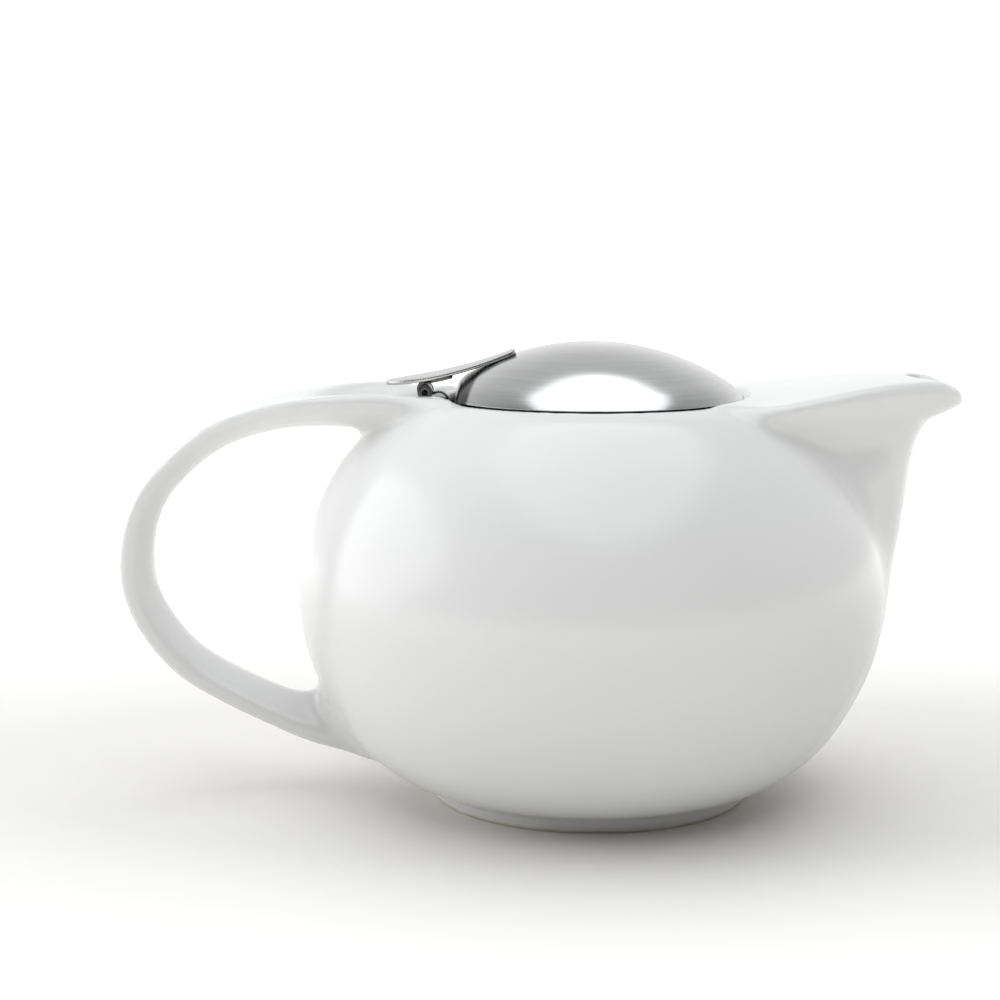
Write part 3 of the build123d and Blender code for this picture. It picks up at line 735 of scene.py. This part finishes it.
def flange_reach(angle):
    """Radius that the flange may reach: it is cut straight beside the hinge bracket."""
    if cos(angle) < -0.5 and FLANGE_RADIUS * abs(sin(angle)) < NOTCH_HALF_WIDTH * 1.03:
        return notch_x / -cos(angle)
    return 100.0


rim_section = rounded([
    (COLLAR_RADIUS - INFUSER_SHEET, collar_low[2]), (COLLAR_RADIUS, collar_low[2]),
    (COLLAR_RADIUS, flange_z - INFUSER_SHEET), (FLANGE_RADIUS, flange_z - INFUSER_SHEET),
    (FLANGE_RADIUS, flange_z), (COLLAR_RADIUS - INFUSER_SHEET, flange_z),
], [0.2, 0.2, 0.25, 0.28, 0.28, 0.7])
rim_loops = turn_about_z(rim_section, np.linspace(0, 2 * pi, 360, endpoint=False), flange_reach)
rim = new_object(
    "infuser_collar", *loops_mesh(rim_loops, ring=True), "infuser", ["infuser_rim"], "infuser_steel"
)

RING_INNER = 27.6
ring_section = rounded([
    (RING_INNER, ring_low[2]), (ring_high[1], ring_low[2]), (ring_high[1], ring_high[2]),
    (ring_high[1] - INFUSER_SHEET, ring_high[2]), (ring_high[1] - INFUSER_SHEET, ring_low[2] + INFUSER_SHEET),
    (RING_INNER, ring_low[2] + INFUSER_SHEET),
], [0.28, 1.0, 0.28, 0.28, 0.3, 0.28])
ring_loops = turn_about_z(ring_section, np.linspace(0, 2 * pi, 240, endpoint=False))
ring = new_object(
    "infuser_foot_ring", *loops_mesh(ring_loops, ring=True), "infuser", ["infuser_base_ring"], "infuser_steel"
)

# perforated sheet: square cells with an eight-sided hole each, every second row moved half a cell
HOLE_PITCH, HOLE_RADIUS = 2.2, 0.56


def perforated(cells, map_point, thickness):
    """Sheet made of unit cells with a hole each; map_point turns (u, v, depth) into a place."""
    border = [(-1, -1), (0, -1), (1, -1), (1, 0), (1, 1), (0, 1), (-1, 1), (-1, 0)]
    hole = HOLE_RADIUS / HOLE_PITCH * 2
    hole_outline = [(hole * cos(a), hole * sin(a)) for a in (radians(-135 + 45 * i) for i in range(8))]
    points, faces, known = [], [], {}

    def index(u, v, depth):
        key = (round(u, 4), round(v, 4), depth)
        if key not in known:
            known[key] = len(points)
            points.append(map_point(u, v, depth))
        return known[key]

    for cu, cv in cells:
        rings = {}
        for depth in (0, 1):
            for label, shape in (("edge", border), ("hole", hole_outline)):
                rings[label, depth] = [
                    index(cu + a / 2, cv + b / 2, depth * thickness) for a, b in shape
                ]
        for i in range(8):
            j = (i + 1) % 8
            for depth, flip in ((0, False), (1, True)):
                e, h = rings["edge", depth], rings["hole", depth]
                quad = (e[i], e[j], h[j], h[i])
                faces.append(quad[::-1] if flip else quad)
            h0, h1 = rings["hole", 0], rings["hole", 1]
            faces.append((h0[i], h0[j], h1[j], h1[i]))
    return np.array(points), faces


MESH_SHEET, PLAIN_BANDS = 0.5, 4.5
full_turn = np.linspace(0, 2 * pi, 180, endpoint=False)
sleeve_radius = sleeve_high[1]
columns = round(2 * pi * sleeve_radius / HOLE_PITCH)
sleeve_rows = int((sleeve_high[2] - sleeve_low[2] - PLAIN_BANDS) / HOLE_PITCH)
row_height = (sleeve_high[2] - sleeve_low[2] - PLAIN_BANDS) / sleeve_rows
sleeve_cells = [(i + 0.5 * (j % 2), j) for j in range(sleeve_rows) for i in range(columns)]


def on_sleeve(u, v, depth):
    """Place on the sleeve: u counts columns round it, v rows up it."""
    a = 2 * pi * (u % columns) / columns
    r = sleeve_radius - depth
    return (r * cos(a), r * sin(a), sleeve_low[2] + 2.2 + (v + 0.5) * row_height)


sleeve_mesh = perforated(sleeve_cells, on_sleeve, MESH_SHEET)
plain_bands = []
for low, high in (
    (sleeve_low[2], sleeve_low[2] + 2.25), (sleeve_high[2] - 2.35, sleeve_high[2])
):
    band = rounded([
        (sleeve_radius - MESH_SHEET - 0.01, low), (sleeve_radius + 0.01, low),
        (sleeve_radius + 0.01, high), (sleeve_radius - MESH_SHEET - 0.01, high),
    ], 0.1, 2)
    plain_bands.append(loops_mesh(turn_about_z(band, full_turn), ring=True))
sleeve = new_object(
    "infuser_mesh_wall", *merge(sleeve_mesh, *plain_bands), "infuser", ["infuser_sleeve"], "infuser_steel"
)

base_radius = base_high[1]
across = int(base_radius / HOLE_PITCH) + 1
base_cells = [
    (i + 0.5 * (j % 2), j)
    for j in range(-across, across + 1)
    for i in range(-across, across + 1)
    if np.hypot(i + 0.5 * (j % 2), j) * HOLE_PITCH < base_radius - 2.4
]


def on_base(u, v, depth):
    """Place on the flat base."""
    return (u * HOLE_PITCH, v * HOLE_PITCH, base_high[2] - depth)


base_border = rounded([
    (base_radius - 4.2, base_low[2] - 0.01), (base_radius, base_low[2] - 0.01),
    (base_radius, base_high[2] + 0.01), (base_radius - 4.2, base_high[2] + 0.01),
], 0.08, 2)
base_ring = loops_mesh(turn_about_z(base_border, full_turn), ring=True)
base = new_object(
    "infuser_mesh_floor", *merge(perforated(base_cells, on_base, MESH_SHEET), base_ring),
    "infuser", ["infuser_base"], "infuser_steel"
)


# ------------------------------------------------------------------ materials

def node_maker(tree):
    """A helper that adds nodes to a tree: an input is either a value or the output that feeds it."""
    def node(kind, inputs=(), **settings):
        made = tree.nodes.new(kind)
        for key, value in settings.items():
            setattr(made, key, value)
        for key, value in dict(inputs).items():
            if isinstance(value, bpy.types.NodeSocket):
                tree.links.new(value, made.inputs[key])
            else:
                made.inputs[key].default_value = value
        return made

    return node


def material(name):
    """A new material with its nodes, its shader and a helper that adds nodes."""
    mat = bpy.data.materials.new(name)
    mat.use_nodes = True
    tree = mat.node_tree
    return mat, tree, tree.nodes["Principled BSDF"], node_maker(tree)


def ramp(node, value, low, high, out_low, out_high):
    """A value mapped from one range to another, clamped."""
    return node(
        "ShaderNodeMapRange",
        {"Value": value, "From Min": low, "From Max": high, "To Min": out_low, "To Max": out_high},
    ).outputs["Result"]


def blend_colour(node, factor, one, two):
    """Mix of two colours by a factor."""
    mix = node("ShaderNodeMix", {0: factor}, data_type="RGBA")
    for socket, colour in ((6, one), (7, two)):
        if isinstance(colour, bpy.types.NodeSocket):
            mix.id_data.links.new(colour, mix.inputs[socket])
        else:
            mix.inputs[socket].default_value = (*colour, 1)
    return mix.outputs[2]


def glaze():
    """Gloss white glaze over white porcelain, left bare on the foot's standing face."""
    mat, tree, shader, node = material("white_glaze")
    place = node("ShaderNodeTexCoord").outputs["Object"]
    cloud = node("ShaderNodeTexNoise", {"Vector": place, "Scale": 22.0, "Detail": 3.0}).outputs["Fac"]
    speck = node("ShaderNodeTexNoise", {"Vector": place, "Scale": 900.0, "Detail": 2.0}).outputs["Fac"]
    height = node("ShaderNodeSeparateXYZ", {"Vector": place}).outputs["Z"]
    wobble = node("ShaderNodeMath", {0: speck, 1: 0.0006}, operation="MULTIPLY").outputs[0]
    edge = node("ShaderNodeMath", {0: height, 1: wobble}, operation="SUBTRACT").outputs[0]
    bare = ramp(node, edge, 0.0006, 0.0012, 1.0, 0.0)
    tint = blend_colour(node, cloud, (0.78, 0.783, 0.775), (0.82, 0.822, 0.818))
    colour = blend_colour(node, bare, tint, (0.80, 0.77, 0.71))
    tree.links.new(colour, shader.inputs["Base Color"])
    gloss = ramp(node, cloud, 0.3, 0.7, 0.2, 0.25)
    rough = node("ShaderNodeMix", {0: bare, 2: gloss, 3: 0.7}).outputs[0]
    tree.links.new(rough, shader.inputs["Roughness"])
    sheen = ramp(node, bare, 0.0, 1.0, 0.08, 0.0)
    tree.links.new(sheen, shader.inputs["Coat Weight"])
    shader.inputs["Coat Roughness"].default_value = 0.14
    shader.inputs["IOR"].default_value = 1.5
    ripple = node("ShaderNodeTexNoise", {"Vector": place, "Scale": 45.0, "Detail": 1.0}).outputs["Fac"]
    soft = node("ShaderNodeBump", {"Height": ripple, "Strength": 0.25, "Distance": 0.0003})
    grain = node(
        "ShaderNodeBump",
        {"Height": speck, "Strength": 0.03, "Distance": 0.0002, "Normal": soft.outputs["Normal"]},
    )
    tree.links.new(grain.outputs["Normal"], shader.inputs["Normal"])
    return mat


def steel(name, colour, roughness, brushing, grain=0.06, anisotropy=0.0, painted_back_reflection=False):
    """Bare steel. Brushing is "round" (rings about the pot's axis), "long" (along X) or "none".

    The option for the back edge paints a dark strip along the lid's back edge: a painted reflection of the
    shaded lever underside and hinge above it.
    """
    mat, tree, shader, node = material(name)
    place = node("ShaderNodeTexCoord").outputs["Object"]
    split = node("ShaderNodeSeparateXYZ", {"Vector": place})
    if brushing == "round":
        flat = node("ShaderNodeCombineXYZ", {"X": split.outputs["X"], "Y": split.outputs["Y"]}).outputs[0]
        radius = node("ShaderNodeVectorMath", {0: flat}, operation="LENGTH").outputs["Value"]
        turn = node(
            "ShaderNodeMath", {0: split.outputs["Y"], 1: split.outputs["X"]}, operation="ARCTAN2"
        ).outputs[0]
        turn = node("ShaderNodeMath", {0: turn, 1: 0.0006}, operation="MULTIPLY").outputs[0]
        lines = node(
            "ShaderNodeCombineXYZ", {"X": radius, "Y": turn, "Z": split.outputs["Z"]}
        ).outputs[0]
    elif brushing == "long":
        along = node("ShaderNodeMath", {0: split.outputs["X"], 1: 0.03}, operation="MULTIPLY").outputs[0]
        lines = node(
            "ShaderNodeCombineXYZ", {"X": along, "Y": split.outputs["Y"], "Z": split.outputs["Z"]}
        ).outputs[0]
    else:
        lines = place
    fine = node("ShaderNodeTexNoise", {"Vector": lines, "Scale": 5200.0, "Detail": 4.0}).outputs["Fac"]
    broad = node("ShaderNodeTexNoise", {"Vector": lines, "Scale": 900.0, "Detail": 2.0}).outputs["Fac"]
    smudge = node("ShaderNodeTexNoise", {"Vector": place, "Scale": 60.0, "Detail": 3.0}).outputs["Fac"]
    streaks = node("ShaderNodeMix", {0: 0.35, 2: fine, 3: broad}).outputs[0]
    dark, light = tuple(c * 0.94 for c in colour), tuple(min(c * 1.05, 1) for c in colour)
    tint = blend_colour(node, ramp(node, streaks, 0.35, 0.65, 0.0, 1.0), dark, light)
    # painted reflection: a near-black strip along the lid's back edge stands in for the reflection of the
    # shaded lever and hinge
    if painted_back_reflection:
        away = node("ShaderNodeMath", {0: split.outputs["Y"]}, operation="ABSOLUTE").outputs[0]
        edge = node(
            "ShaderNodeMath", {0: away, 1: 0.235, 2: split.outputs["X"]}, operation="MULTIPLY_ADD"
        ).outputs[0]
        edge = node("ShaderNodeMath", {0: fine, 1: 0.0014, 2: edge}, operation="MULTIPLY_ADD").outputs[0]
        tint = blend_colour(node, ramp(node, edge, -0.0244, -0.0234, 1.0, 0.0), tint, (0.055, 0.055, 0.053))
    tree.links.new(tint, shader.inputs["Base Color"])
    shader.inputs["Metallic"].default_value = 1.0
    wear = node("ShaderNodeMix", {0: 0.4, 2: streaks, 3: smudge}).outputs[0]
    rough = ramp(node, wear, 0.3, 0.7, roughness * 0.85, roughness * 1.2)
    tree.links.new(rough, shader.inputs["Roughness"])
    bump = node("ShaderNodeBump", {"Height": streaks, "Strength": grain, "Distance": 0.0001})
    tree.links.new(bump.outputs["Normal"], shader.inputs["Normal"])
    if anisotropy:
        shader.inputs["Anisotropic"].default_value = anisotropy
        tangent = node("ShaderNodeTangent", direction_type="RADIAL", axis="Z")
        tree.links.new(tangent.outputs["Tangent"], shader.inputs["Tangent"])
    return mat


def paint(obj, mat):
    """Gives an object one material."""
    obj.data.materials.clear()
    obj.data.materials.append(mat)


# the spun lid carries the painted dark reflection strip along its back edge
lid_steel = steel("satin_steel_spun", (0.56, 0.565, 0.563), 0.17, "round", anisotropy=0.45, painted_back_reflection=True)
lever_steel = steel("satin_steel_lever", (0.47, 0.47, 0.465), 0.24, "long")
hinge_finish = steel("dark_steel_hinge", (0.13, 0.13, 0.128), 0.26, "long", grain=0.04)
infuser_finish = steel("satin_steel_infuser", (0.62, 0.62, 0.61), 0.30, "round", grain=0.05)

paint(pot, glaze())
for obj in (dome, skirt):
    paint(obj, lid_steel)
paint(lever, lever_steel)
for obj in (leaf, bracket, pin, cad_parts["clip_spring"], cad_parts["clip_rivets"]):
    paint(obj, hinge_finish)
for obj in (rim, ring, sleeve, base):
    paint(obj, infuser_finish)


# ------------------------------------------------------------------ floor, light and camera

FLOOR_HALF = 6.0
floor_mesh = bpy.data.meshes.new("floor")
floor_corners = [(x * FLOOR_HALF, y * FLOOR_HALF, 0) for x, y in ((-1, -1), (1, -1), (1, 1), (-1, 1))]
floor_mesh.from_pydata(floor_corners, [], [(0, 1, 2, 3)])
floor = bpy.data.objects.new("floor", floor_mesh)
bpy.context.scene.collection.objects.link(floor)
floor_mat, floor_tree, floor_shader, floor_node = material("studio_floor")
floor_place = floor_node("ShaderNodeTexCoord").outputs["Object"]
floor_noise = floor_node(
    "ShaderNodeTexNoise", {"Vector": floor_place, "Scale": 180.0, "Detail": 3.0}
).outputs["Fac"]
floor_colour = blend_colour(floor_node, floor_noise, (0.855, 0.84, 0.81), (0.88, 0.865, 0.84))
floor_tree.links.new(floor_colour, floor_shader.inputs["Base Color"])

# the floor glows in an oval round the pot, so that it is white away from the pot's shadow
oval = floor_node(
    "ShaderNodeVectorMath", {0: floor_place, 1: (0.8, 1.6, 1.0), 2: (0.0, -0.03, 0.0)},
    operation="MULTIPLY_ADD",
).outputs[0]
away = floor_node("ShaderNodeVectorMath", {0: oval}, operation="LENGTH").outputs["Value"]
near_glow = ramp(floor_node, away, 0.12, 0.28, 0.0, 0.28)
far_glow = ramp(floor_node, away, 0.3, 0.8, 0.0, 0.7)
glow = floor_node("ShaderNodeMath", {0: near_glow, 1: far_glow}, operation="ADD").outputs[0]
floor_tree.links.new(glow, floor_shader.inputs["Emission Strength"])
floor_shader.inputs["Emission Color"].default_value = (1.0, 1.0, 1.0, 1.0)
floor_shader.inputs["Roughness"].default_value = 0.55
paint(floor, floor_mat)


def soft_light(name, place, target, size, radiance, tint):
    """An oval area light aimed at a point."""
    data = bpy.data.lights.new(name, "AREA")
    data.shape = "ELLIPSE"
    data.size, data.size_y = size
    data.energy = radiance * pi * size[0] * size[1] * pi / 4
    data.color = tint
    obj = bpy.data.objects.new(name, data)
    bpy.context.scene.collection.objects.link(obj)
    obj.location = place
    obj.rotation_euler = (Vector(target) - Vector(place)).to_track_quat("-Z", "Y").to_euler()
    return obj


soft_light("overhead", (0.07, -0.32, 1.0), (0.07, -0.32, 0.0), (1.12, 1.85), 1.62, (0.975, 1.0, 1.015))
soft_light("left", (-1.5, 0.3, 0.65), (0.0, 0.3, 0.65), (2.25, 1.35), 1.9, (0.99, 1.0, 1.01))

world = bpy.data.worlds.new("studio")
world.use_nodes = True
bpy.context.scene.world = world
background = world.node_tree.nodes["Background"]
sky_node = node_maker(world.node_tree)
direction = sky_node("ShaderNodeTexCoord").outputs["Generated"]
facing = sky_node("ShaderNodeSeparateXYZ", {"Vector": direction})
behind = ramp(sky_node, facing.outputs["Y"], -0.6, 0.8, 0.08, 1.0)
upward = ramp(sky_node, facing.outputs["Z"], 0.2, 0.6, 1.07, 0.76)
strength = sky_node("ShaderNodeMath", {0: behind, 1: upward}, operation="MULTIPLY").outputs[0]
world.node_tree.links.new(strength, background.inputs["Strength"])
background.inputs["Color"].default_value = (1.0, 1.0, 1.0, 1.0)
bpy.context.scene.view_settings.view_transform = "Standard"

CAMERA_TILT = 8.5
camera_data = bpy.data.cameras.new("camera")
camera_data.lens = 76.6
camera_data.sensor_width = 36.0
camera_data.clip_start = 0.01
camera = bpy.data.objects.new("camera", camera_data)
bpy.context.scene.collection.objects.link(camera)
camera.location = (-0.0218, -0.505, 0.1466)
camera.rotation_euler = (radians(90 - CAMERA_TILT), 0, 0)
bpy.context.scene.camera = camera
